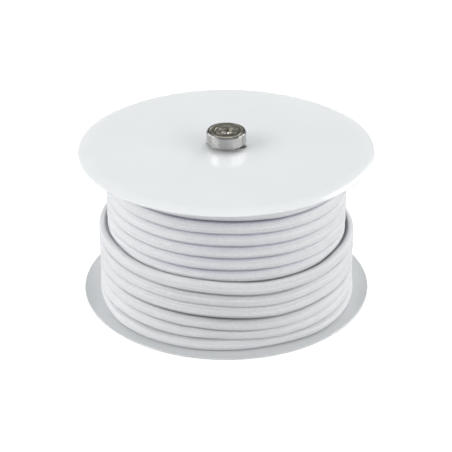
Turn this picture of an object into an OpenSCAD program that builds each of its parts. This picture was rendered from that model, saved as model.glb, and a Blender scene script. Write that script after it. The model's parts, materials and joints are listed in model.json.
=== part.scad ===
// Cable spool: two pressed disc flanges clamped on a core tube by one axle,
// a ball bearing on the upper axle end, and a full winding of flat cable.
// All lengths in millimetres. Z = 0 is the flat underside of the lower flange.

/* [Flanges] */
// Outside diameter of both flanges
flange_d = 164; // [140:1:200]
// Sheet thickness of the flanges
sheet_t = 1; // [0.8:0.1:1.5]
// Height over the flat outer faces of the two flanges
spool_h = 89.1; // [80:0.1:110]
// Radial width of the turned lip
lip_w = 8; // [4:0.5:10]
// How far the lip turns in towards the winding
lip_drop = 1.1; // [0.4:0.1:2]

/* [Core] */
// Outside diameter of the core tube
core_d = 74; // [70:1:80]
// Wall of the core tube
core_wall = 2; // [1.5:0.5:3]
// Depth of the pressed nut recess in the lower flange
recess_h = 12; // [12:0.5:14]
// Inside diameter of the nut recess
recess_d = 26; // [24:1:28]

/* [Axle] */
// Axle diameter
axle_d = 8; // [8:1:8]
// Diameter of the collar that the bearing sits on
collar_d = 12; // [11:0.5:12]
// Height of that collar
collar_h = 1.8; // [1:0.1:4]
// How far the axle end lies below the bearing's top face
axle_recess = 2; // [0:0.1:3]
// Diameter of the two assembly holes beside the collar
pin_hole_d = 5; // [4:0.1:5]
// Distance of those holes from the axis
pin_hole_r = 8.9; // [8.2:0.1:9]

/* [Bearing] */
// Outside diameter
brg_d = 22; // [22:1:22]
// Width
brg_w = 7; // [7:0.5:8]
// Ball diameter
ball_d = 3.969; // [3.9:0.001:4]
// Number of balls
balls = 7; // [6:1:7]

/* [Cable] */
// Width of the flat cable
cable_w = 7.1; // [6:0.1:8]
// Thickness of the flat cable
cable_t = 5; // [4:0.1:5.5]
// Number of full layers
layers = 6; // [5:1:6]
// Height of the part-wound outer layer at its last turn
outer_top = 42.2; // [30:0.1:60]

/* [Hidden] */
$fn = 96;

R = flange_d / 2;
axle_r = axle_d / 2;
core_r = core_d / 2;
core_bore_r = core_r - core_wall;
hole_angle = -15;                  // direction of the pair of assembly holes
brg_z = spool_h + collar_h;        // underside of the bearing
brg_mid = brg_z + brg_w / 2;
pitch_r = 7.5;                     // ball circle
track_r = ball_d / 2 + 0.075;      // race groove, with running clearance
land_i = 6.1;                      // inner ring's outside
land_o = 8.9;                      // outer ring's inside
wind_r0 = core_r + 0.2;            // where the winding starts
wind_r1 = wind_r0 + layers * cable_t;
outer_r1 = wind_r1 + cable_t;
cup_z = recess_h;                  // underside of the recess floor
nut_h = 8;
washer_t = 1.6;
tail_dir = 100;                    // where the cable enters the core
tail_bend = 20;                    // bend radius of the inner tail
tail_c = wind_r0 + cable_t / 2 - tail_bend;
end_dir = 92;                      // where the cable's outer end lies

// Height that the lip has turned through at radius r
function lip(r) = r < R - lip_w ? 0 : lip_drop * pow((r - R + lip_w) / lip_w, 1.8);
// Radii used to draw the lip
lip_steps = [for (i = [0:10]) R - lip_w + i * (lip_w - sheet_t * 0.5) / 10];

// Half section of a flange from radius r_in out, flat side on z = 0, lip turning up
module flange_section(r_in) {
    polygon(concat(
        [[r_in, 0]],
        [for (r = lip_steps) [r, lip(r)]],
        [for (a = [-60:30:60]) [R - sheet_t / 2 + sheet_t / 2 * cos(a),
                                lip(R - sheet_t / 2) + sheet_t / 2 + sheet_t / 2 * sin(a)]],
        [for (i = [10:-1:0]) [lip_steps[i], lip(lip_steps[i]) + sheet_t]],
        [[r_in, sheet_t]]
    ));
}

// The two holes beside the axle, for assembly
module pin_holes(z, h) {
    for (s = [0, 180])
        rotate([0, 0, hole_angle + s])
            translate([pin_hole_r, 0, z]) cylinder(d = pin_hole_d, h = h);
}

module top_flange() {
    color("white") difference() {
        translate([0, 0, spool_h]) mirror([0, 0, 1])
            rotate_extrude($fn = 180) flange_section(axle_r + 0.05);
        pin_holes(spool_h - sheet_t - 1, sheet_t + 2);
    }
}

module bottom_flange() {
    color("white") rotate_extrude($fn = 180) {
        flange_section(recess_d / 2);
        translate([recess_d / 2, 0]) square([sheet_t, cup_z + sheet_t]);
        translate([axle_r + 0.05, cup_z]) square([recess_d / 2 - axle_r, sheet_t]);
    }
}

module core_tube() {
    color("gainsboro") difference() {
        translate([0, 0, sheet_t]) rotate_extrude($fn = 144)
            translate([core_bore_r, 0]) square([core_wall, spool_h - 2 * sheet_t]);
        // notch that lets the cable's inner end into the core
        translate([0, 0, sheet_t - 1]) rotate([0, 0, tail_dir - 2]) rotate_extrude(angle = 46)
            translate([core_bore_r - 1, 0]) square([core_wall + 2, cable_w + 1.6]);
    }
}

// Spoked hub: rim, plate, boss and ribs, plate side on z = 0 and the rest above it
module hub(rim_h, boss_h) {
    difference() {
        union() {
            rotate_extrude($fn = 144) translate([core_bore_r - 2, 0]) square([2, rim_h]);
            rotate_extrude($fn = 144) translate([axle_r + 0.05, 0]) square([core_bore_r - axle_r - 0.05, 3]);
            rotate_extrude($fn = 96) translate([axle_r + 0.05, 0]) square([2.2, boss_h]);
            for (a = [0:60:300]) rotate([0, 0, a + 20])
                translate([axle_r + 1.5, -1, 0]) cube([core_bore_r - axle_r - 2.5, 2, rim_h - 4]);
        }
        for (a = [0:60:300]) rotate([0, 0, a + 50])
            translate([22, 0, -1]) cylinder(d = 12, h = 5);
    }
}

module top_hub() {
    color("gainsboro") difference() {
        translate([0, 0, spool_h - sheet_t]) mirror([0, 0, 1]) hub(16, 18);
        pin_holes(spool_h - sheet_t - 4, 5);
    }
}

module bottom_hub() {
    color("gainsboro") translate([0, 0, cup_z + sheet_t]) hub(16, 18);
}

module axle() {
    z0 = cup_z - washer_t - nut_h - 1.2;
    top = brg_z + brg_w - axle_recess;
    color("silver") rotate_extrude() polygon([
        [0, z0], [axle_r - 0.8, z0], [axle_r, z0 + 0.8], [axle_r, spool_h],
        [collar_d / 2 - 0.3, spool_h], [collar_d / 2, spool_h + 0.3], [collar_d / 2, brg_z],
        [axle_r, brg_z], [axle_r, top - 0.6], [axle_r - 0.6, top],
        [1.6, top], [0, top - 2.4]
    ]);
}

module clamp_washer() {
    color("silver") translate([0, 0, cup_z - washer_t]) rotate_extrude()
        translate([axle_r + 0.05, 0]) square([8 - axle_r - 0.05, washer_t]);
}

module clamp_nut() {
    z0 = cup_z - washer_t - nut_h;
    color("silver") translate([0, 0, z0]) difference() {
        union() {
            intersection() {
                translate([0, 0, 1.8]) cylinder(d = 13 / cos(30), h = nut_h - 1.8, $fn = 6);
                rotate_extrude() polygon([[0, 0], [6.2, 0], [6.2, 1.8], [6.6, 1.8], [7.6, 2.4], [7.6, nut_h - 0.6], [6.6, nut_h], [0, nut_h]]);
            }
            cylinder(r = 6.1, h = 1.9);
        }
        translate([0, 0, -1]) cylinder(r = axle_r, h = nut_h + 2);
        translate([0, 0, 0.5]) cylinder(r = 5.3, h = 2);
    }
}

module nut_insert() {
    color("steelblue") translate([0, 0, cup_z - washer_t - nut_h + 0.5]) rotate_extrude()
        translate([axle_r, 0]) square([5.3 - axle_r, 2]);
}

module bearing_outer_ring() {
    c = 0.6;
    color("silver") translate([0, 0, brg_z]) difference() {
        rotate_extrude() polygon([
            [9.4, 0], [brg_d / 2 - c, 0], [brg_d / 2, c], [brg_d / 2, brg_w - c], [brg_d / 2 - c, brg_w],
            [9.4, brg_w], [9.4, brg_w - 1.05], [land_o, brg_w - 1.05], [land_o, 1.05], [9.4, 1.05]
        ]);
        translate([0, 0, brg_w / 2]) rotate_extrude() translate([pitch_r, 0]) circle(r = track_r, $fn = 48);
    }
}

module bearing_inner_ring() {
    c = 0.35;
    color("silver") translate([0, 0, brg_z]) difference() {
        rotate_extrude() polygon([
            [axle_r, 0], [land_i - 0.2, 0], [land_i, 0.2], [land_i, brg_w - 0.2], [land_i - 0.2, brg_w],
            [axle_r + c, brg_w], [axle_r, brg_w - c]
        ]);
        translate([0, 0, brg_w / 2]) rotate_extrude() translate([pitch_r, 0]) circle(r = track_r, $fn = 48);
    }
}

module bearing_balls() {
    color("silver") for (i = [0:balls - 1]) rotate([0, 0, i * 360 / balls + 90])
        translate([pitch_r, 0, brg_mid]) sphere(d = ball_d, $fn = 48);
}

module bearing_cage() {
    color("darkgoldenrod") difference() {
        translate([0, 0, brg_mid - 2.35]) rotate_extrude() translate([pitch_r - 0.6, 0]) square([1.2, 4.7]);
        for (i = [0:balls - 1]) rotate([0, 0, i * 360 / balls + 90])
            translate([pitch_r, 0, brg_mid]) sphere(r = ball_d / 2 + 0.07, $fn = 48);
    }
}

// Pressed shield, as it lies in the upper face of the outer ring
module shield() {
    rotate_extrude() polygon([
        [9.4, brg_w - 1.05], [9.4, brg_w - 0.8], [8.9, brg_w - 0.75], [8.6, brg_w - 0.3], [8.4, brg_w - 0.2],
        [6.6, brg_w - 0.2], [6.35, brg_w - 0.35], [6.35, brg_w - 0.6], [6.55, brg_w - 0.45],
        [8.2, brg_w - 0.45], [8.4, brg_w - 0.55], [8.7, brg_w - 1.05]
    ]);
}

module bearing_top_shield() {
    color("gray") translate([0, 0, brg_z]) shield();
}

module bearing_bottom_shield() {
    color("gray") translate([0, 0, brg_z + brg_w]) mirror([0, 0, 1]) shield();
}

module cable_winding() {
    color("whitesmoke") translate([0, 0, sheet_t]) rotate_extrude($fn = 180)
        translate([wind_r0, 0]) square([wind_r1 - wind_r0, spool_h - 2 * sheet_t]);
}

module cable_outer_layer() {
    color("whitesmoke") difference() {
        translate([0, 0, sheet_t]) rotate_extrude($fn = 180)
            translate([wind_r1, 0]) square([cable_t, outer_top - sheet_t]);
        // the last turn ends at the back, so it is missing over this stretch
        rotate([0, 0, end_dir + 12 - 98]) translate([0, 0, outer_top - 5.3]) rotate_extrude(angle = 98, $fn = 180)
            translate([wind_r1 - 2, 0]) square([cable_t + 4, 10]);
    }
}

module cable_inner_tail() {
    color("whitesmoke") intersection() {
        translate([tail_c * cos(tail_dir), tail_c * sin(tail_dir), sheet_t])
            rotate([0, 0, tail_dir]) rotate_extrude(angle = 115)
                translate([tail_bend - cable_t / 2, 0]) square([cable_t, cable_w]);
        cylinder(r = core_r + 0.1, h = 40, $fn = 144);
    }
}

// Nylon tie round the tail, a stop that cannot pull back through the notch
module tail_tie() {
    color("white") translate([tail_c * cos(tail_dir), tail_c * sin(tail_dir), 0])
        rotate([0, 0, tail_dir + 95]) translate([tail_bend, 0, 0]) difference() {
            union() {
                translate([-cable_t / 2 - 1.1, -1.25, sheet_t + 0.05]) cube([cable_t + 2.2, 2.5, cable_w + 1.1]);
                translate([-2.2, -2, sheet_t + cable_w]) cube([4.4, 4, 3.6]);
            }
            translate([-tail_bend, 0, sheet_t - 1]) rotate([0, 0, -15]) rotate_extrude(angle = 30)
                translate([tail_bend - cable_t / 2, 0]) square([cable_t, cable_w + 1]);
        }
}

module cable_end_sleeve() {
    color("white") rotate([0, 0, end_dir]) translate([0, 0, outer_top - 5.3]) rotate_extrude(angle = 12)
        translate([wind_r1, 0]) square([cable_t, cable_w]);
}

module end_tape() {
    color("ivory") rotate([0, 0, end_dir - 6]) translate([0, 0, 21]) rotate_extrude(angle = 26, $fn = 180)
        translate([outer_r1, 0]) square([0.3, outer_top - 21 + 1.5]);
}

top_flange();
bottom_flange();
core_tube();
top_hub();
bottom_hub();
axle();
clamp_washer();
clamp_nut();
nut_insert();
bearing_outer_ring();
bearing_inner_ring();
bearing_balls();
bearing_cage();
bearing_top_shield();
bearing_bottom_shield();
cable_winding();
cable_outer_layer();
cable_inner_tail();
tail_tie();
cable_end_sleeve();
end_tape();
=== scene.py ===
"""Cable spool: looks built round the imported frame. Units are metres, in the part's own frame."""

import json
import math

import bpy
import numpy as np
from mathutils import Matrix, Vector


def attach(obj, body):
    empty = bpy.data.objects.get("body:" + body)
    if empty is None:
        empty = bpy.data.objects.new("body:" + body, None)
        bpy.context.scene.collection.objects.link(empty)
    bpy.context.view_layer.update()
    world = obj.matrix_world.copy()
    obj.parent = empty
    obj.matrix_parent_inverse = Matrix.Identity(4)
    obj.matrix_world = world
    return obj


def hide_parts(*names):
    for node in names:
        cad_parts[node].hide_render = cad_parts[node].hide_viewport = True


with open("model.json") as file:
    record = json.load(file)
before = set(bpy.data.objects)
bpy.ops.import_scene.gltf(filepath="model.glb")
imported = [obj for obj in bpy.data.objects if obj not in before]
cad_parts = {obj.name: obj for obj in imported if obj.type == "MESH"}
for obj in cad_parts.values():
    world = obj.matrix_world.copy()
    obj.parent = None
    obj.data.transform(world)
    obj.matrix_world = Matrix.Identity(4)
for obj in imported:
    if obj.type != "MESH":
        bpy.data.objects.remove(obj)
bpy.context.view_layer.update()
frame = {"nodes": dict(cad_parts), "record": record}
NODES = frame["nodes"]
SPOOL = "spool"
scene = bpy.context.scene
scene.view_settings.view_transform = "Standard"
scene.view_settings.look = "None"
MM = 0.001

# ---------------------------------------------------------------- camera
ELEV = math.radians(28.2)
DIST = 0.8364
TARGET = Vector((0.0, 0.0, 0.0451))
cam_data = bpy.data.cameras.new("camera")
cam_data.sensor_width = 36.0
cam_data.lens = 1472.0 / 452.0 * 36.0
cam_data.clip_start, cam_data.clip_end = 0.05, 20.0
cam_data.shift_x = -0.0009
cam_data.shift_y = -0.0248
cam = bpy.data.objects.new("camera", cam_data)
scene.collection.objects.link(cam)
back = Vector((0.0, -math.cos(ELEV), math.sin(ELEV)))
cam.location = TARGET + back * DIST
cam.rotation_mode = "QUATERNION"
cam.rotation_quaternion = (-back).to_track_quat("-Z", "Y")
scene.camera = cam

# ---------------------------------------------------------------- the cable's route
# Places along the cable are given by u, the angle wound so far in degrees. A turn number k and an
# azimuth a (0 at the front, 90 at the right, -90 at the left) make u = 360 k - a, because the cable
# is wound clockwise as seen from above.
CORE_R = 37.2           # inside of the winding, mm
T = 5.0                 # thickness of a layer
W = 7.1                 # width of the cable
Z_LO, Z_HI = 1.06, 88.04  # inner faces of the flanges


def knots(rows):
    """Sorted (u, value) arrays from rows of (turn, azimuth, value)."""
    pts = sorted((360.0 * k - a, v) for k, a, v in rows)
    return np.array([p[0] for p in pts]), np.array([p[1] for p in pts])


def pchip(x, y, q):
    """Monotone cubic through the knots."""
    h = np.diff(x)
    d = np.diff(y) / h
    m = np.zeros_like(y)
    inner = d[:-1] * d[1:] > 0
    w1, w2 = 2 * h[1:] + h[:-1], h[1:] + 2 * h[:-1]
    with np.errstate(divide="ignore", invalid="ignore"):
        hm = (w1 + w2) / (w1 / d[:-1] + w2 / d[1:])
    m[1:-1] = np.where(inner, hm, 0.0)
    q = np.clip(q, x[0], x[-1])
    i = np.clip(np.searchsorted(x, q) - 1, 0, len(h) - 1)
    t = (q - x[i]) / h[i]
    return ((1 + 2 * t) * (1 - t) ** 2 * y[i] + t * (1 - t) ** 2 * h[i] * m[i]
            + t * t * (3 - 2 * t) * y[i + 1] + t * t * (t - 1) * h[i] * m[i + 1])


# Layer 6, wound downwards: height of each turn's middle at the front, and how it varies round the spool
FRONT6 = {1: 86.6, 2: 79.95, 3: 71.95, 4: 64.75, 5: 57.55, 6: 50.25, 7: 43.0, 8: 35.8, 9: 28.6, 10: 21.4, 11: 14.6, 12: 8.6}
SHAPE6 = [(90, -4.2), (56, -3.1), (47, -2.6), (39, -2.1), (25, -1.3), (13, -0.5), (0, 0.0), (-9, 0.2), (-33, 0.0), (-50, -0.4), (-90, -1.0)]


def settle(a):
    """How much higher the turns sit, rising towards the sides of the front and easing off behind them."""
    side = min(abs(a), 60.0)
    return (0.35 + 0.65 * (side / 48.0) ** 2.2 - 0.35) * max(0.0, 1 - max(0.0, abs(a) - 60) / 45) + 0.35


rows_z = []
for k, f in FRONT6.items():
    for a, s in SHAPE6:
        rows_z.append((k, a, f + s + (settle(a) if k > 1 else 0.0)))
# Layer 7, wound upwards: turn 13 is the lowest and 18 the last
ROWS7 = {
    13: [(90, 3.6), (60, 3.3), (45, 3.3), (20, 3.55), (0, 4.15), (-20, 3.85), (-38, 3.75), (-50, 3.75), (-90, 4.4)],
    14: [(90, 7.5), (50, 7.4), (24, 7.95), (12, 8.7), (0, 9.45), (-12, 9.75), (-20, 9.6), (-38, 9.5), (-90, 9.4)],
    15: [(90, 14.0), (53, 13.8), (24, 14.4), (12, 15.2), (0, 16.1), (-12, 16.8), (-24, 16.9), (-38, 16.8), (-90, 16.7)],
    16: [(90, 21.7), (50, 21.8), (24, 22.0), (12, 22.9), (0, 23.9), (-12, 24.6), (-22, 24.7), (-38, 24.6), (-90, 24.5)],
    17: [(90, 29.0), (50, 29.05), (24, 29.1), (12, 29.9), (0, 30.95), (-12, 31.7), (-22, 31.85), (-38, 31.85), (-90, 31.9)],
    18: [(90, 36.6), (50, 36.45), (24, 36.5), (12, 37.2), (0, 38.2), (-12, 39.0), (-22, 39.2), (-38, 39.3), (-90, 39.5), (-166, 40.45), (-180, 40.5)],
}


def top_rise(a):
    """Rise of the last turn's upper edge at the two sides."""
    return min(max(0.0, abs(a) - 46) * 0.1, 1.6) * max(0.5, 1 - max(0.0, abs(a) - 75) / 50)


for k, pts in ROWS7.items():
    if k == 18:
        z18 = knots([(18, a, z) for a, z in pts])
        for a in list(range(90, -91, -10)):
            z = float(pchip(*z18, np.array([360.0 * 18 - a]))[0])
            rows_z.append((18, a, z + 0.5 * (top_rise(a) + settle(a))))
        rows_z += [(18, -125, 40.35), (18, -150, 40.45), (18, -166, 40.45), (18, -180, 40.45)]
        continue
    share = {13: 0.0, 14: 0.9}.get(k, 1.0)
    rows_z += [(k, a, z + share * settle(a)) for a, z in pts]
ROWS_H = [(1, 180, 7.1), (2, 90, 7.15), (13, 180, 7.0), (13, 110, 6.4), (13, 60, 4.6), (13, 45, 4.5), (13, 20, 4.9), (13, 5, 6.0), (13, 0, 6.2),
          (13, -20, 5.6), (13, -38, 5.4), (13, -50, 5.4), (13, -90, 6.6), (13, -180, 7.0),
          (14, 110, 6.3), (14, 90, 6.0), (14, 50, 5.9), (14, 24, 5.5), (14, 0, 5.1), (14, -20, 6.1), (14, -38, 6.5), (14, -90, 7.1),
          (15, 90, 7.2), (15, -100, 7.15), (17, -60, 7.15), (18, 64, 7.1), (18, 48, 6.35), (18, 24, 6.65), (18, 0, 6.75), (18, -24, 6.65), (18, -48, 6.35), (18, -64, 7.1), (18, -180, 7.1)]
ROWS_T = [(1, 180, 5.0), (13, 180, 5.0), (13, 110, 5.4), (13, 60, 7.2), (13, 45, 7.3), (13, 20, 6.2), (13, 0, 6.2), (13, -20, 6.8), (13, -38, 7.2),
          (13, -50, 7.1), (13, -90, 5.2), (13, -180, 5.0), (14, 90, 5.2), (14, 24, 5.6), (14, 0, 5.8), (14, -20, 5.4), (14, -90, 5.0), (18, -180, 5.0)]
# radius of the cable's outer face over the last two layers
ROWS_RO = [(1, 50, 62.2), (1, -60, 67.2), (13, 165, 67.2), (13, 100, 71.9), (13, 75, 73.4), (13, 55, 74.6), (13, 45, 74.7), (13, 20, 73.0), (13, 0, 73.6),
           (13, -20, 74.4), (13, -38, 74.8), (13, -50, 74.6), (13, -80, 72.5), (13, -110, 72.15), (18, -180, 72.2)]

U_START6 = 360.0 * 1 - 50     # layer 5 has reached the top flange here
U_END = 360.0 * 18 + 166      # the braid's end, at the back
RAMP = (Z_HI - Z_LO - W) / 7.12 * 360.0   # angle wound while the height changes by one layer
HOP = 90.0                    # angle in which the cable climbs onto the next layer


def route():
    """u, centre radius, centre height, width and thickness, all in mm and degrees, at each ring."""
    fine, coarse = 3.0, 10.0
    u6 = np.concatenate([
        np.arange(U_START6, 360.0 * 7 + 180, fine),
        np.arange(360.0 * 7 + 180, 360.0 * 12 + 90, coarse),
        np.arange(360.0 * 12 + 90, U_END, fine), [U_END]])
    zx, zy = knots(rows_z)
    keep = zx > U_START6 + 150
    zx, zy = np.concatenate([[U_START6, U_START6 + 40, U_START6 + 110], zx[keep]]), np.concatenate([[84.4, 84.4, 84.45], zy[keep]])
    z6 = pchip(zx, zy, u6)
    h6 = pchip(*knots(ROWS_H), u6)
    t6 = pchip(*knots(ROWS_T), u6)
    ro = pchip(*knots(ROWS_RO), u6)
    z6 = np.clip(z6, Z_LO + h6 / 2, Z_HI - h6 / 2)
    r6 = ro - t6 / 2
    # the five inner layers, counted back from the start of the sixth
    us, rs, zs = [], [], []
    u = U_START6
    lo, hi = Z_LO + W / 2, Z_HI - W / 2
    for n in (5, 4, 3, 2, 1):
        up = n % 2 == 1
        r = CORE_R + T * (n - 0.5)
        angle = RAMP + (SHIFT if n == 1 else 0.0)
        q = np.arange(u - angle, u, coarse)
        f = np.clip((q - (u - angle)) / angle, 0, 1)
        us.append(q)
        rs.append(np.full(len(q), r))
        zs.append(lo + (hi - lo) * (f if up else 1 - f))
        u -= angle
        if n > 1:
            q = np.arange(u - HOP, u, coarse)
            f = (q - (u - HOP)) / HOP
            f = f * f * (3 - 2 * f)
            us.append(q)
            rs.append(r - T + T * f)
            zs.append(np.full(len(q), lo if up else hi))
            u -= HOP
    us, rs, zs = us[::-1], rs[::-1], zs[::-1]
    ub, rb, zb = (np.concatenate(x) for x in (us, rs, zs))
    order = np.argsort(ub)
    ub, rb, zb = ub[order], rb[order], zb[order]
    return (np.concatenate([ub, u6]), np.concatenate([rb, r6]), np.concatenate([zb, z6]),
            np.concatenate([np.full(len(ub), W), h6]), np.concatenate([np.full(len(ub), T), t6]))


# the inner end comes in through the core's notch at this angle
TAIL_DIR = math.radians(100.0)
TAIL_BEND = 20.0
TAIL_C = CORE_R + T / 2 - TAIL_BEND
TAIL_ARC = 115.0
u_first = U_START6 - 5 * RAMP - 4 * HOP
theta_first = math.degrees(TAIL_DIR)
# layer 1 is stretched a little, so that it starts at the notch
SHIFT = 0.0
want = (90.0 + u_first + theta_first) % 360.0   # u = -90 - theta (mod 360)
SHIFT = want if want < 180 else want - 360.0
u, rc, zc, hh, tt = route()
theta = np.radians(-90.0 - u)   # azimuth a = -u, and the front is at -90 degrees

rng = np.random.default_rng(7)
# slight unevenness of a hand-guided winding, in the last two layers
wob = np.zeros_like(u)
for wl, amp in ((97.0, 0.05), (41.0, 0.035), (23.0, 0.025)):
    wob += amp * np.sin(np.radians(u) * 360.0 / wl + rng.uniform(0, 6.28)) * (1 + 0.4 * np.sin(np.radians(u) / 3.1))
seen = np.clip((u - (360 * 1 + 100)) / 100, 0, 1)
zc = np.clip(zc + wob * seen, Z_LO + hh / 2, Z_HI - hh / 2)
rad_wob = sum(a * np.sin(np.radians(u) * 360.0 / wl + p) for wl, a, p in ((61.0, 0.04, 0.4), (29.0, 0.03, 2.2)))
rc = rc + rad_wob * seen * (rc > 64)

centre = np.stack([rc * np.cos(theta), rc * np.sin(theta), zc], 1)
radial = np.stack([np.cos(theta), np.sin(theta), np.zeros_like(u)], 1)
# the tail inside the core
beta = np.radians(np.arange(TAIL_ARC, 3.0, -4.0))
ang = TAIL_DIR + beta
cx, cy = TAIL_C * math.cos(TAIL_DIR), TAIL_C * math.sin(TAIL_DIR)
tail = np.stack([cx + TAIL_BEND * np.cos(ang), cy + TAIL_BEND * np.sin(ang), np.full(len(ang), zc[0])], 1)
tail_r = np.stack([np.cos(ang), np.sin(ang), np.zeros(len(ang))], 1)
centre = np.concatenate([tail, centre])
radial = np.concatenate([tail_r, radial])
hh = np.concatenate([np.full(len(ang), W), hh])
tt = np.concatenate([np.full(len(ang), T), tt])
ring_u = np.concatenate([np.full(len(ang), u[0] - 1), u])
step = np.linalg.norm(np.diff(centre, axis=0), axis=1)
along = np.concatenate([[0], np.cumsum(step)])

# ---------------------------------------------------------------- cross-section
N_FACE, N_SIDE, N_CORNER = 9, 3, 4


def section(h, t, corner=1.45, lobe=0.20, crown=0.26):
    """Points round a flat three-core cable: (out, up, perimeter). out is radial, up is along the spool's axis."""
    pts = []
    c = min(corner, h / 2 - 0.3, t / 2 - 0.3)
    hf, tf = h / 2 - c, t / 2 - c
    for side in (0, 1, 2, 3):
        base = side * 90.0
        # centre of the corner that ends this side
        for j in range(N_CORNER):
            a = math.radians(base + 90.0 * (j + 0.5) / N_CORNER - 0.0)
            sx = 1 if math.cos(math.radians(base + 45)) > 0 else -1
            sy = 1 if math.sin(math.radians(base + 45)) > 0 else -1
            pts.append((sx * tf + c * math.cos(a), sy * hf + c * math.sin(a)))
        n = N_SIDE if side in (0, 2) else N_FACE
        for j in range(n):
            f = (j + 0.5) / n
            if side == 0:      # along the top, from outside to inside
                pts.append((tf * (1 - 2 * f), h / 2 + 0.04 * math.sin(math.pi * f)))
            elif side == 1:    # down the inner face
                y = hf * (1 - 2 * f)
                pts.append((-t / 2 - lobe_at(y, h, lobe, crown), y))
            elif side == 2:
                pts.append((-tf * (1 - 2 * f), -h / 2 - 0.04 * math.sin(math.pi * f)))
            else:
                y = -hf * (1 - 2 * f)
                pts.append((t / 2 + lobe_at(y, h, lobe, crown), y))
    return np.array(pts)


def lobe_at(y, h, lobe, crown):
    """How far the broad face stands out at height y: a low crown with three soft ribs, one over each core."""
    s = y / (h / 2)
    return crown * (1 - s * s) + lobe * 0.5 * (math.cos(2 * math.pi * 1.5 * s) - 1) * (1 - abs(s)) ** 0.3 * 0.8


def groove_shade_profile(m):
    """Two weights for each point of the section: how deep it lies in the painted shade of the groove above, and of the
    groove below.
    """
    above, below = np.zeros(m), np.zeros(m)
    k = 0
    for side in (0, 1, 2, 3):
        for j in range(N_CORNER):
            f = (j + 0.5) / N_CORNER
            above[k] = (0.25 + 0.75 * f ** 1.4, 1, 0.5, 0)[side]
            below[k] = (0, 0.5, 1, 0.25 + 0.75 * (1 - f) ** 0.8)[side]
            k += 1
        n = N_SIDE if side in (0, 2) else N_FACE
        for j in range(n):
            above[k] = (1, 0.8, 0, 0)[side]
            below[k] = (0, 0.2, 1, 0)[side]
            if side == 3:      # the shade reaches a little way onto the broad face
                below[k] = (0.24, 0.12, 0.05)[j] if j < 3 else 0
                above[k] = (0.22, 0.10, 0.04)[n - 1 - j] if n - 1 - j < 3 else 0
            k += 1
    return above, below


def open_groove_shade_profile(m):
    """The same for a turn whose upper side lies open: only the inner end of that side lies in a groove and gets painted
    shade.
    """
    above = np.zeros(m)
    above[N_CORNER:N_CORNER + N_SIDE] = (0.0, 0.15, 0.6)
    above[N_CORNER + N_SIDE:2 * N_CORNER + N_SIDE + N_FACE] = 1.0
    return above


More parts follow.
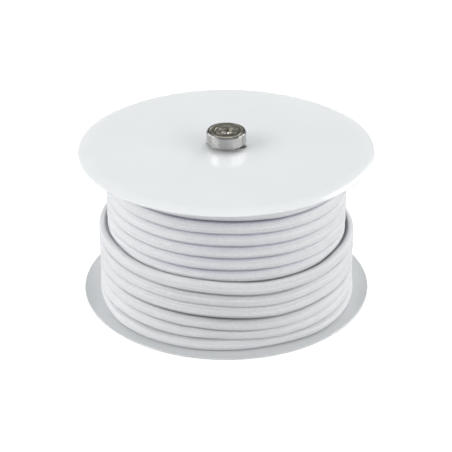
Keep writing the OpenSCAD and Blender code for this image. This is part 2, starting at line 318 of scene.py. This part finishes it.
def build_tube(name, centre, radial, hh, tt, along, v_grow=0.0, corner=1.45, cap_rings=3, painted_shade=None, shade_tint=None):
    """A closed flat tube along the route, with UVs in metres: along it, and round it."""
    n = len(centre)
    tangent = np.gradient(centre, axis=0)
    tangent /= np.linalg.norm(tangent, axis=1)[:, None]
    out = radial - (radial * tangent).sum(1)[:, None] * tangent
    out /= np.linalg.norm(out, axis=1)[:, None]
    up = np.cross(tangent, out)
    flip = up[:, 2] < 0
    up[flip] *= -1
    cache = {}
    rings, perim = [], None
    for i in range(n):
        key = (round(hh[i], 2), round(tt[i], 2))
        if key not in cache:
            s = section(key[0] + v_grow, key[1] + v_grow, corner)
            d = np.linalg.norm(np.roll(s, -1, 0) - s, axis=1)
            cache[key] = (s, np.concatenate([[0], np.cumsum(d)]))
        s, p = cache[key]
        perim = p if perim is None else perim
        rings.append(centre[i] + s[:, :1] * out[i] + s[:, 1:] * up[i])
    m = len(rings[0])
    # rounded ends: a few shrinking rings and a middle point
    ends = []
    for i, sign in ((0, -1), (n - 1, 1)):
        s, _ = cache[(round(hh[i], 2), round(tt[i], 2))]
        group = []
        for j in range(1, cap_rings + 1):
            f = j / (cap_rings + 1) * math.pi / 2
            shrink, push = math.cos(f) * 0.35 + 0.65, math.sin(f) * 0.6
            group.append(centre[i] + tangent[i] * sign * push + (s[:, :1] * out[i] + s[:, 1:] * up[i]) * shrink)
        group.append(centre[i] + tangent[i] * sign * 0.62 + (s[:, :1] * out[i] + s[:, 1:] * up[i]) * 0.3)
        ends.append(group)
    all_rings = ends[0][::-1] + rings + ends[1]
    pad0 = [along[0] - 0.15 * (k + 1) for k in range(len(ends[0]))][::-1]
    pad1 = [along[-1] + 0.15 * (k + 1) for k in range(len(ends[1]))]
    s_along = np.concatenate([pad0, along, pad1])
    verts = np.concatenate(all_rings)
    first, last = len(verts), len(verts) + 1
    verts = np.concatenate([verts, [all_rings[0].mean(0)], [all_rings[-1].mean(0)]]) * MM
    k = len(all_rings)
    i, j = np.meshgrid(np.arange(k - 1), np.arange(m), indexing="ij")
    i, j = i.ravel(), j.ravel()
    j2 = (j + 1) % m
    quads = np.stack([i * m + j, i * m + j2, (i + 1) * m + j2, (i + 1) * m + j], 1)
    # the face winding depends on the handedness of (tangent, out, up)
    hand = np.sign(np.dot(np.cross(out[n // 2], up[n // 2]), tangent[n // 2]))
    if hand < 0:
        quads = quads[:, ::-1]
    a = np.arange(m)
    cap0 = np.stack([np.full(m, first), (a + 1) % m, a], 1)
    cap1 = np.stack([np.full(m, last), (k - 1) * m + a, (k - 1) * m + (a + 1) % m], 1)
    if hand < 0:
        cap0, cap1 = cap0[:, ::-1], cap1[:, ::-1]
    mesh = bpy.data.meshes.new(name)
    faces = [tuple(q) for q in quads.tolist()] + [tuple(t) for t in cap0.tolist()] + [tuple(t) for t in cap1.tolist()]
    mesh.from_pydata(verts.tolist(), [], faces)
    uv = mesh.uv_layers.new(name="braid")
    per = perim * MM
    ua = s_along * MM
    loops_v = np.zeros(len(mesh.loops), np.int64)
    mesh.loops.foreach_get("vertex_index", loops_v)
    ri, ci = loops_v // m, loops_v % m
    tip = loops_v >= first
    coords = np.zeros((len(loops_v), 2))
    coords[:, 0] = ua[np.clip(ri, 0, k - 1)]
    coords[:, 1] = per[ci]
    # loops on the closing column need the full perimeter, not 0
    nq = len(quads) * 4
    q_loop = np.arange(nq).reshape(-1, 4)
    wrap = j == m - 1
    lv = loops_v[:nq].reshape(-1, 4) % m
    fix = wrap[:, None] & (lv == 0)
    coords[q_loop[fix], 1] = per[m]
    coords[tip, 1] = per[m] / 2
    uv.data.foreach_set("uv", coords.astype(np.float32).ravel())
    mesh.polygons.foreach_set("use_smooth", np.ones(len(mesh.polygons), bool))
    if painted_shade is not None:
        # painted_shade: (depth of the painted shade in the groove above, depth of the painted shade in the groove
        # below, 1 where the upper side is open), per ring
        ca, cb, op = (np.concatenate([np.full(len(ends[0]), c[0]), c, np.full(len(ends[1]), c[-1])]) for c in painted_shade)
        above, below = groove_shade_profile(m)
        opened = open_groove_shade_profile(m)
        val = ca[:, None] * (above * (1 - op[:, None]) + opened * op[:, None]) + cb[:, None] * below
        val = np.concatenate([val.ravel(), [1.0, 1.0]]).clip(0, 2) / 2
        att = mesh.color_attributes.new("groove", "FLOAT_COLOR", "POINT")
        rgba = np.ones((len(val), 4), np.float32)
        rgba[:, 0] = val
        # second channel: how violet the painted groove shade is, on the upper layer only
        rgba[:-2, 1] = np.repeat(np.concatenate([np.full(len(ends[0]), 1.0), shade_tint, np.full(len(ends[1]), shade_tint[-1])]), m)
        att.data.foreach_set("color", rgba.ravel())
    mesh.validate()
    mesh.update()
    obj = bpy.data.objects.new(name, mesh)
    scene.collection.objects.link(obj)
    return obj


# how dark the painted shade in each groove is: above and below turn k
GROOVE_SHADE = {1: (0.6, 1.9), 2: (1.9, 0.8), 3: (0.8, 0.8), 4: (0.8, 0.9), 5: (0.9, 0.75), 6: (0.75, 1.0),
          13: (0.45, 0.9), 14: (0.4, 0.45), 15: (1.35, 0.4), 16: (0.55, 1.35), 17: (1.05, 0.55), 18: (1.5, 1.05)}
kx = np.arange(1, 19) * 360.0
shade_above = np.interp(ring_u, kx, [GROOVE_SHADE.get(k, (0.8, 0.8))[0] for k in range(1, 19)])
shade_below = np.interp(ring_u, kx, [GROOVE_SHADE.get(k, (0.8, 0.8))[1] for k in range(1, 19)])
az = (-ring_u + 180.0) % 360.0 - 180.0
# the painted groove shade is deepest at the front, faint at the sides and deeper again round the back
ease = 0.12 + 0.88 * np.exp(-(az / 36.0) ** 2) + 0.6 * np.clip((np.abs(az) - 75) / 40, 0, 1)   # opener at the sides
# painted shadow of the upper disc's lip along the last turn's upper side
lip_shade = np.clip((ring_u - (U_END - 362.0)) / 6.0, 0, 1) * (0.55 + 0.45 * np.clip((az + 40) / 40, 0, 1))
shade_above = np.where(lip_shade > 0, 1.5 * lip_shade, 0.88 * shade_above * ease)
shade_below = 0.88 * shade_below * ease
g_open = np.clip((ring_u - (U_END - 362.0)) / 6.0, 0, 1)
cable = build_tube("cable", centre, radial, hh, tt, along, painted_shade=(shade_above, shade_below, g_open),
                   shade_tint=np.clip((360 * 12 + 60 - ring_u) / 60, 0, 1))

# shrink sleeve over the cable's outer end, pinched flat past the end
su = np.arange(U_END - 0.7, U_END + 11.5, 0.6)
sf = (su - su[0]) / (su[-1] - su[0])
sth = np.radians(-90.0 - su)
s_t = 5.12 - 1.9 * np.clip((sf - 0.62) / 0.38, 0, 1) ** 1.5
s_h = 7.22 - 0.35 * np.clip((sf - 0.7) / 0.3, 0, 1) ** 2 + 0.10 * np.exp(-(sf / 0.03) ** 2)
s_r = 72.22 - s_t / 2 + 0.03 * np.sin(sf * 23.0)
s_c = np.stack([s_r * np.cos(sth), s_r * np.sin(sth), np.full(len(su), 40.46)], 1)
s_rad = np.stack([np.cos(sth), np.sin(sth), np.zeros(len(su))], 1)
s_al = np.concatenate([[0], np.cumsum(np.linalg.norm(np.diff(s_c, axis=0), axis=1))])
sleeve = build_tube("end_sleeve", s_c, s_rad, s_h, s_t, s_al, corner=1.25)


def build_tape(name):
    """Thin clear tape over the cable's end, pressed a little into the grooves between the turns."""
    th0, th1, z0, z1 = 86.3, 111.7, 21.3, 43.4
    na, nz = 70, 56
    grooves = (27.9, 35.9)
    outer, inner = [], []
    r_ = np.random.default_rng(3)
    jag = r_.uniform(-0.10, 0.10, (2, nz + 1))
    for i in range(na + 1):
        f = i / na
        for j in range(nz + 1):
            z = z0 + (z1 - z0) * j / nz
            saw = 0.28 * (abs((j % 2) - 0.5) - 0.25)   # torn on a toothed edge
            th = th0 + (th1 - th0) * f + (saw + jag[0, j] if i == 0 else 0) + (saw + jag[1, j] if i == na else 0)
            dip = sum(0.16 * math.exp(-((z - g) / 0.55) ** 2) for g in grooves)
            lift = 0.03 * math.sin(th * 0.9 + z * 0.35) + 0.02 * math.sin(th * 2.3 - z * 0.8)
            r = 72.41 - dip + lift * 0.6
            a = math.radians(th)
            outer.append((r * math.cos(a) * MM, r * math.sin(a) * MM, z * MM))
            r -= 0.05
            inner.append((r * math.cos(a) * MM, r * math.sin(a) * MM, z * MM))
    w = nz + 1
    n = len(outer)
    faces = []
    for i in range(na):
        for j in range(nz):
            a, b, c, d = i * w + j, (i + 1) * w + j, (i + 1) * w + j + 1, i * w + j + 1
            faces.append((a, b, c, d))
            faces.append((n + d, n + c, n + b, n + a))
    for i in range(na):
        a, b = i * w, (i + 1) * w
        faces.append((a, n + a, n + b, b))
        a, b = i * w + nz, (i + 1) * w + nz
        faces.append((b, n + b, n + a, a))
    for j in range(nz):
        a, b = j, j + 1
        faces.append((b, n + b, n + a, a))
        a, b = na * w + j, na * w + j + 1
        faces.append((a, n + a, n + b, b))
    mesh = bpy.data.meshes.new(name)
    mesh.from_pydata(outer + inner, [], faces)
    mesh.polygons.foreach_set("use_smooth", np.ones(len(mesh.polygons), bool))
    mesh.validate()
    mesh.update()
    o = bpy.data.objects.new(name, mesh)
    scene.collection.objects.link(o)
    return o


tape = build_tape("clear_tape_strip")

# ---------------------------------------------------------------- node helpers
def new_mat(name):
    m = bpy.data.materials.new(name)
    m.use_nodes = True
    nt = m.node_tree
    nt.nodes.clear()
    out = nt.nodes.new("ShaderNodeOutputMaterial")
    b = nt.nodes.new("ShaderNodeBsdfPrincipled")
    nt.links.new(b.outputs[0], out.inputs[0])
    return m, nt, b


def add(nt, kind, **props):
    n = nt.nodes.new(kind)
    for k, v in props.items():
        setattr(n, k, v)
    return n


def math_node(nt, op, a, b=None, c=None):
    n = add(nt, "ShaderNodeMath", operation=op)
    for i, v in enumerate((a, b, c)):
        if v is None:
            continue
        if isinstance(v, (int, float)):
            n.inputs[i].default_value = v
        else:
            nt.links.new(v, n.inputs[i])
    return n.outputs[0]


def noise(nt, vec, scale, detail=2.0, rough=0.5):
    n = add(nt, "ShaderNodeTexNoise")
    n.inputs["Scale"].default_value = scale
    n.inputs["Detail"].default_value = detail
    n.inputs["Roughness"].default_value = rough
    nt.links.new(vec, n.inputs["Vector"])
    return n.outputs["Fac"]


def ramp(nt, fac, stops):
    n = add(nt, "ShaderNodeValToRGB")
    el = n.color_ramp.elements
    while len(el) > len(stops):
        el.remove(el[-1])
    while len(el) < len(stops):
        el.new(1.0)
    for e, (p, c) in zip(el, stops):
        e.position = p
        e.color = (*c, 1.0)
    nt.links.new(fac, n.inputs[0])
    return n.outputs[0]


def spread(nt, fac, lo, hi, out_lo, out_hi):
    n = add(nt, "ShaderNodeMapRange")
    for i, v in enumerate((lo, hi, out_lo, out_hi)):
        n.inputs[i + 1].default_value = v
    nt.links.new(fac, n.inputs[0])
    return n.outputs[0]


def bump(nt, bsdf, height, strength, distance):
    n = add(nt, "ShaderNodeBump")
    n.inputs["Strength"].default_value = strength
    n.inputs["Distance"].default_value = distance
    nt.links.new(height, n.inputs["Height"])
    nt.links.new(n.outputs[0], bsdf.inputs["Normal"])
    return n


def obj_coord(nt):
    return add(nt, "ShaderNodeTexCoord").outputs["Object"]


# ---------------------------------------------------------------- materials
def enamel(name, k=1.0):
    m, nt, b = new_mat(name)
    p = obj_coord(nt)
    tone = noise(nt, p, 18.0, 3.0)
    # k below 1 paints shade into the whole enamel colour, used for the lower disc
    col = ramp(nt, tone, [(0.3, (0.750 * k, 0.773 * k, 0.785 * k)), (0.7, (0.778 * k, 0.798 * k, 0.808 * k))])
    nt.links.new(col, b.inputs["Base Color"])
    dust = noise(nt, p, 260.0, 2.0)
    nt.links.new(spread(nt, dust, 0.3, 0.7, 0.10, 0.14), b.inputs["Roughness"])
    b.inputs["IOR"].default_value = 1.5
    peel = noise(nt, p, 420.0, 1.5)
    bump(nt, b, peel, 0.05, 0.00004)
    return m


def braid():
    """White braided textile: two families of yarns crossing at an angle, with a soft fuzz."""
    m, nt, b = new_mat("cable_braid")
    uv = add(nt, "ShaderNodeUVMap", uv_map="braid")
    sep = add(nt, "ShaderNodeSeparateXYZ")
    nt.links.new(uv.outputs[0], sep.inputs[0])
    s, v = sep.outputs[0], sep.outputs[1]
    pitch = 0.00095
    p = math_node(nt, "DIVIDE", math_node(nt, "ADD", s, math_node(nt, "MULTIPLY", v, 1.25)), pitch)
    q = math_node(nt, "DIVIDE", math_node(nt, "SUBTRACT", s, math_node(nt, "MULTIPLY", v, 1.25)), pitch)
    fp, fq = math_node(nt, "FRACT", p), math_node(nt, "FRACT", q)
    # rounded yarn profile across each family
    hp = math_node(nt, "SINE", math_node(nt, "MULTIPLY", fp, math.pi))
    hq = math_node(nt, "SINE", math_node(nt, "MULTIPLY", fq, math.pi))
    # which family lies on top, in a two-over-two-under herringbone
    par = math_node(nt, "FRACT", math_node(nt, "MULTIPLY", math_node(nt, "ADD", math_node(nt, "FLOOR", p), math_node(nt, "FLOOR", q)), 0.5))
    over = math_node(nt, "GREATER_THAN", par, 0.25)
    top = add(nt, "ShaderNodeMix")
    nt.links.new(over, top.inputs[0])
    nt.links.new(hp, top.inputs[2])
    nt.links.new(hq, top.inputs[3])
    weave = top.outputs[0]
    fuzz = noise(nt, obj_coord(nt), 3600.0, 2.0)
    height = math_node(nt, "ADD", weave, math_node(nt, "MULTIPLY", fuzz, 0.3))
    tone = noise(nt, obj_coord(nt), 45.0, 2.0)
    base = ramp(nt, tone, [(0.3, BRAID_LO), (0.7, BRAID_HI)])
    dark = spread(nt, weave, 0.0, 0.75, 0.84, 1.0)
    # single yarns differ a little in tone
    stretched = add(nt, "ShaderNodeCombineXYZ")
    nt.links.new(math_node(nt, "FLOOR", p), stretched.inputs[0])
    nt.links.new(math_node(nt, "FLOOR", q), stretched.inputs[1])
    yarn = add(nt, "ShaderNodeTexWhiteNoise")
    nt.links.new(stretched.outputs[0], yarn.inputs["Vector"])
    dark = math_node(nt, "MULTIPLY", dark, spread(nt, yarn.outputs["Value"], 0.0, 1.0, 0.95, 1.03))
    # faint lines along the cable, between the cores under the braid
    line = noise(nt, streak_coord(nt, s, v), 1.0, 2.0)
    dark = math_node(nt, "MULTIPLY", dark, spread(nt, line, 0.3, 0.7, 0.91, 1.04))
    # painted shade: the groove attribute darkens the base colour in the grooves between the turns, with a violet cast
    # on the upper layer
    groove = add(nt, "ShaderNodeVertexColor", layer_name="groove")
    parts = add(nt, "ShaderNodeSeparateColor")
    nt.links.new(groove.outputs[0], parts.inputs[0])
    deep = math_node(nt, "POWER", math_node(nt, "MULTIPLY", parts.outputs[0], 2.0), 1.25)
    shade = add(nt, "ShaderNodeCombineXYZ")
    for i, (k0, k1) in enumerate(((0.36, 0.35), (0.37, 0.36), (0.38, 0.46))):
        k = spread(nt, parts.outputs[1], 0.0, 1.0, k0, k1)
        nt.links.new(math_node(nt, "MULTIPLY", dark, math_node(nt, "POWER", k, deep)), shade.inputs[i])
    mixn = add(nt, "ShaderNodeMix", data_type="RGBA", blend_type="MULTIPLY")
    mixn.inputs[0].default_value = 1.0
    nt.links.new(base, mixn.inputs[6])
    nt.links.new(shade.outputs[0], mixn.inputs[7])
    nt.links.new(mixn.outputs[2], b.inputs["Base Color"])
    b.inputs["Roughness"].default_value = 0.62
    b.inputs["Sheen Weight"].default_value = 0.15
    b.inputs["Sheen Roughness"].default_value = 0.4
    b.inputs["Specular IOR Level"].default_value = 0.35
    bump(nt, b, height, 0.65, 0.00018)
    return m


def streak_coord(nt, s, v):
    """Coordinates stretched along the cable: one unit is 60 mm along it and 0.9 mm across."""
    c = add(nt, "ShaderNodeCombineXYZ")
    nt.links.new(math_node(nt, "MULTIPLY", s, 1 / 0.06), c.inputs[0])
    nt.links.new(math_node(nt, "MULTIPLY", v, 1 / 0.0009), c.inputs[1])
    return c.outputs[0]


BRAID_LO, BRAID_HI = (0.884, 0.893, 0.914), (0.898, 0.907, 0.924)


def steel(name, base, rough, ring_scale=2600.0, rough_var=0.05, turned=0.0, rings=0.25):
    """Turned or ground steel: fine rings round the axis, slight tone variation."""
    m, nt, b = new_mat(name)
    p = obj_coord(nt)
    sep = add(nt, "ShaderNodeSeparateXYZ")
    nt.links.new(p, sep.inputs[0])
    r = math_node(nt, "SQRT", math_node(nt, "ADD", math_node(nt, "POWER", sep.outputs[0], 2.0), math_node(nt, "POWER", sep.outputs[1], 2.0)))
    comb = add(nt, "ShaderNodeCombineXYZ")
    nt.links.new(r, comb.inputs[0])
    nt.links.new(sep.outputs[2], comb.inputs[1])
    fine = noise(nt, comb.outputs[0], ring_scale, 3.0)
    tone = noise(nt, p, 300.0, 3.0)
    lo = tuple(c * 0.9 for c in base)
    hi = tuple(min(1.0, c * 1.08) for c in base)
    nt.links.new(ramp(nt, tone, [(0.3, lo), (0.7, hi)]), b.inputs["Base Color"])
    b.inputs["Metallic"].default_value = 1.0
    nt.links.new(spread(nt, fine, 0.3, 0.7, max(0.02, rough - rough_var), rough + rough_var), b.inputs["Roughness"])
    if turned:
        # ground round the axis, so highlights spread along it
        b.inputs["Anisotropic"].default_value = turned
        b.inputs["Anisotropic Rotation"].default_value = 0.25
        around = add(nt, "ShaderNodeTangent", direction_type="RADIAL", axis="Z")
        nt.links.new(around.outputs[0], b.inputs["Tangent"])
    bump(nt, b, fine, rings, 0.00002)
    return m


def plastic(name, base, rough, grain=900.0, grain_amount=0.15):
    m, nt, b = new_mat(name)
    p = obj_coord(nt)
    tone = noise(nt, p, 40.0, 3.0)
    lo = tuple(c * 0.95 for c in base)
    nt.links.new(ramp(nt, tone, [(0.3, lo), (0.7, base)]), b.inputs["Base Color"])
    g = noise(nt, p, grain, 2.0)
    nt.links.new(spread(nt, g, 0.3, 0.7, rough - 0.04, rough + 0.06), b.inputs["Roughness"])
    bump(nt, b, g, grain_amount, 0.00005)
    return m


def clear_tape():
    m, nt, b = new_mat("clear_tape")
    p = obj_coord(nt)
    tone = noise(nt, p, 160.0, 3.0)
    nt.links.new(ramp(nt, tone, [(0.3, (0.80, 0.80, 0.75)), (0.7, (0.88, 0.88, 0.85))]), b.inputs["Base Color"])
    b.inputs["Roughness"].default_value = 0.14
    b.inputs["Alpha"].default_value = 0.34
    bump(nt, b, noise(nt, p, 420.0, 3.0), 0.3, 0.00006)
    return m


MATS = {
    "clear_tape": clear_tape(),
    "white_enamel": enamel("white_enamel"),
    "cable_braid": braid(),
    "bearing_steel": steel("bearing_steel", (0.47, 0.465, 0.455), 0.26, rough_var=0.03, turned=0.85, rings=0.05),
    "shield_steel": steel("shield_steel", (0.36, 0.345, 0.28), 0.30, turned=0.4),
    "axle_steel": steel("axle_steel", (0.74, 0.72, 0.67), 0.27, rings=0.1),
    "zinc_steel": steel("zinc_steel", (0.62, 0.63, 0.66), 0.32),
    "ball_steel": steel("ball_steel", (0.66, 0.66, 0.66), 0.08, rough_var=0.02),
    "cage_steel": steel("cage_steel", (0.45, 0.42, 0.36), 0.35),
    "core_board": plastic("core_board", (0.74, 0.73, 0.69), 0.6),
    "hub_plastic": plastic("hub_plastic", (0.70, 0.70, 0.70), 0.45),
    "blue_nylon": plastic("blue_nylon", (0.07, 0.18, 0.50), 0.4),
    "tie_nylon": plastic("tie_nylon", (0.80, 0.80, 0.77), 0.35),
    "end_sleeve": plastic("end_sleeve", (0.80, 0.80, 0.81), 0.3, grain=1500.0, grain_amount=0.05),
}

SLOTS = {s["node"]: s["material_slot"] for s in frame["record"]["subparts"]}
for name, obj in NODES.items():
    slot = SLOTS.get(name)
    if slot in MATS:
        obj.data.materials.clear()
        obj.data.materials.append(MATS[slot])

# painted shade: the lower disc gets a copy of the white enamel made 9% darker, for the shade it lies in under the upper
# disc and the winding
NODES["bottom_flange"].data.materials[0] = enamel("white_enamel_lower_shaded", 0.91)
# painted shade and reflection: the inner ring gets a darker, olive copy of the bearing steel, standing in for the dark
# surroundings its top face mirrors
NODES["bearing_inner_ring"].data.materials[0] = steel("bearing_steel_inner_shaded", (0.34, 0.33, 0.29), 0.33, rings=0.1)

# ---------------------------------------------------------------- cable pieces on the frame
cable.data.materials.append(MATS["cable_braid"])
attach(cable, SPOOL)
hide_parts("cable_winding", "cable_outer_layer", "cable_inner_tail")
sleeve.data.materials.append(MATS["end_sleeve"])
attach(sleeve, SPOOL)
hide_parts("cable_end_sleeve")
tape.data.materials.append(MATS["clear_tape"])
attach(tape, SPOOL)
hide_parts("end_tape")

# ---------------------------------------------------------------- stage
def area(name, azimuth, elevation, distance, size_x, size_y, power, colour=(1, 1, 1)):
    """A soft box aimed at the spool. Azimuth 0 is at the camera's side, 90 to the right."""
    data = bpy.data.lights.new(name, "AREA")
    data.shape = "RECTANGLE"
    data.size, data.size_y = size_x, size_y
    data.energy = power
    data.color = colour
    o = bpy.data.objects.new(name, data)
    a, e = math.radians(azimuth), math.radians(elevation)
    d = Vector((math.sin(a) * math.cos(e), -math.cos(a) * math.cos(e), math.sin(e)))
    o.location = Vector((0, 0, 0.05)) + d * distance
    o.rotation_mode = "QUATERNION"
    o.rotation_quaternion = d.to_track_quat("Z", "Y")
    scene.collection.objects.link(o)
    return o


floor_mesh = bpy.data.meshes.new("floor")
N = 64
fv = [(3.0 * math.cos(2 * math.pi * i / N), 3.0 * math.sin(2 * math.pi * i / N), 0.0) for i in range(N)]
floor_mesh.from_pydata(fv, [], [tuple(range(N))])
floor = bpy.data.objects.new("floor", floor_mesh)
scene.collection.objects.link(floor)
fm, fnt, fb = new_mat("floor_white")
fb.inputs["Base Color"].default_value = (0.3, 0.3, 0.3, 1)
fb.inputs["Roughness"].default_value = 0.9
fb.inputs["Specular IOR Level"].default_value = 0.0
fb.inputs["Emission Color"].default_value = (1, 1, 1, 1)
# seen directly the floor is plain white; the light it gives the spool is softer
path = add(fnt, "ShaderNodeLightPath")
fnt.links.new(spread(fnt, path.outputs["Is Camera Ray"], 0.0, 1.0, 0.12, 1.0), fb.inputs["Emission Strength"])
floor_mesh.materials.append(fm)

world = bpy.data.worlds.new("studio")
scene.world = world
world.use_nodes = True
wn = world.node_tree
wn.nodes.clear()
wo = add(wn, "ShaderNodeOutputWorld")
bg = add(wn, "ShaderNodeBackground")
ws = add(wn, "ShaderNodeSeparateXYZ")
wn.links.new(add(wn, "ShaderNodeTexCoord").outputs["Generated"], ws.inputs[0])
# a white cove round the horizon, dark above it
low = spread(wn, ws.outputs[2], 0.08, 0.16, 0.48, 0.32)
high = spread(wn, ws.outputs[2], 0.32, 0.40, 1.0, 0.12)
glow = math_node(wn, "MULTIPLY", low, high)
seen_white = add(wn, "ShaderNodeLightPath").outputs["Is Camera Ray"]
wn.links.new(math_node(wn, "MAXIMUM", glow, seen_white), bg.inputs[1])
bg.inputs[0].default_value = (1, 1, 1, 1)
wn.links.new(bg.outputs[0], wo.inputs[0])

area("side_left", -67, 13, 1.35, 1.3, 0.75, 10.6)
area("high_left", -76, 35, 1.35, 1.1, 0.5, 5.6)
area("front_right", 34, 30, 1.35, 0.6, 0.6, 1.0)
area("side_right", 62, 13, 1.35, 1.3, 0.75, 11.5)
area("back_right", 138, 37, 1.35, 0.8, 0.5, 5.0)
area("far_right", 92, 30, 1.35, 0.5, 0.5, 2.2)
area("back_left", -130, 32, 1.35, 0.8, 0.5, 2.4)
area("back_low", 180, 4, 1.35, 1.2, 0.3, 2.0)
area("top", 0, 88, 1.4, 1.2, 1.2, 1.5)
area("top_back", 180, 70, 1.4, 0.8, 0.8, 7.8)


def reach(light, pieces, state):
    """Let a light reach only these pieces (INCLUDE), or all but these (EXCLUDE)."""
    group = bpy.data.collections.new(light.name + "_reach")
    for o in pieces:
        group.objects.link(o)
    light.light_linking.receiver_collection = group
    for row in group.collection_objects:
        row.light_linking.link_state = state


# the low and the top boxes light the enamelled discs without a mirror image of themselves in the paint
DISCS = [bpy.data.objects["top_flange"], bpy.data.objects["bottom_flange"]]
for name, *box in (("side_left", -67, 13, 1.35, 1.3, 0.75, 10.6), ("side_right", 62, 13, 1.35, 1.3, 0.75, 11.5),
                   ("top", 0, 88, 1.4, 1.2, 1.2, 1.5), ("top_back", 180, 70, 1.4, 0.8, 0.8, 7.8)):
    reach(bpy.data.objects[name], DISCS, "EXCLUDE")
    soft = area(name + "_discs", *box)
    soft.visible_glossy = False
    reach(soft, DISCS, "INCLUDE")
